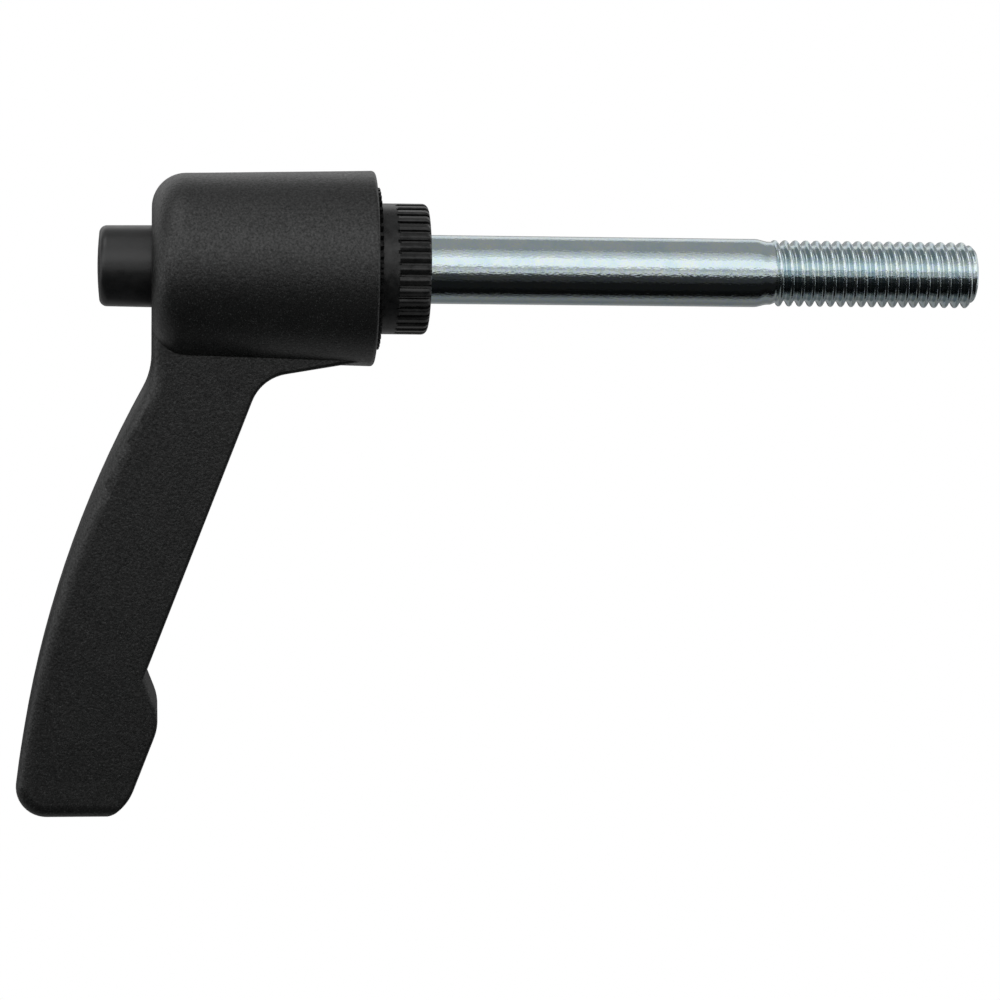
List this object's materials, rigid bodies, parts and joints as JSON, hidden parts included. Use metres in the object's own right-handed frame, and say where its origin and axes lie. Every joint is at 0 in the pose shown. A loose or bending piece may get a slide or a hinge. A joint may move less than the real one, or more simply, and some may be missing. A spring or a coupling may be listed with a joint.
{
  "type": "adjustable clamping lever",
  "caption": "Push-button clamping lever: black moulded arm and hub sprung onto a toothed insert, lifted to re-index, on a plated shank with a threaded end.",
  "frame": {"origin": "centre of the collar's seating face, on the stud's axis", "axes": "+Z along the stud from the threaded tip towards the push button; +X towards the end of the arm; the part is the same on both sides of the XZ plane"},
  "size_m": [0.0759, 0.0226, 0.1125],
  "materials": {
    "lever_nylon": "black glass-filled nylon, fine moulded grain",
    "button_plastic": "smooth satin black",
    "insert_steel": "black-oxide steel, satin",
    "zinc_steel": "bright zinc plate",
    "spring_steel": "drawn spring wire"
  },
  "bodies": {
    "stud_assembly": {"stud": "zinc_steel", "toothed_insert": "insert_steel", "retaining_screw": "zinc_steel", "washer": "zinc_steel", "push_button": "button_plastic"},
    "spring": {"spring": "spring_steel"},
    "lever": {"lever": "lever_nylon"}
  },
  "joints": [
    {"name": "lever_index", "type": "hinge", "parent": "stud_assembly", "child": "spring", "pos_m": [0, 0, 0], "axis": [0, 0, 1], "continuous": true},
    {"name": "lever_lift", "type": "slide", "parent": "spring", "child": "lever", "axis": [0, 0, 1], "range_m": [0, 0.0052], "stiffness_N_per_m": 1500, "springref_m": -0.004, "deforming": ["spring"]}
  ]
}
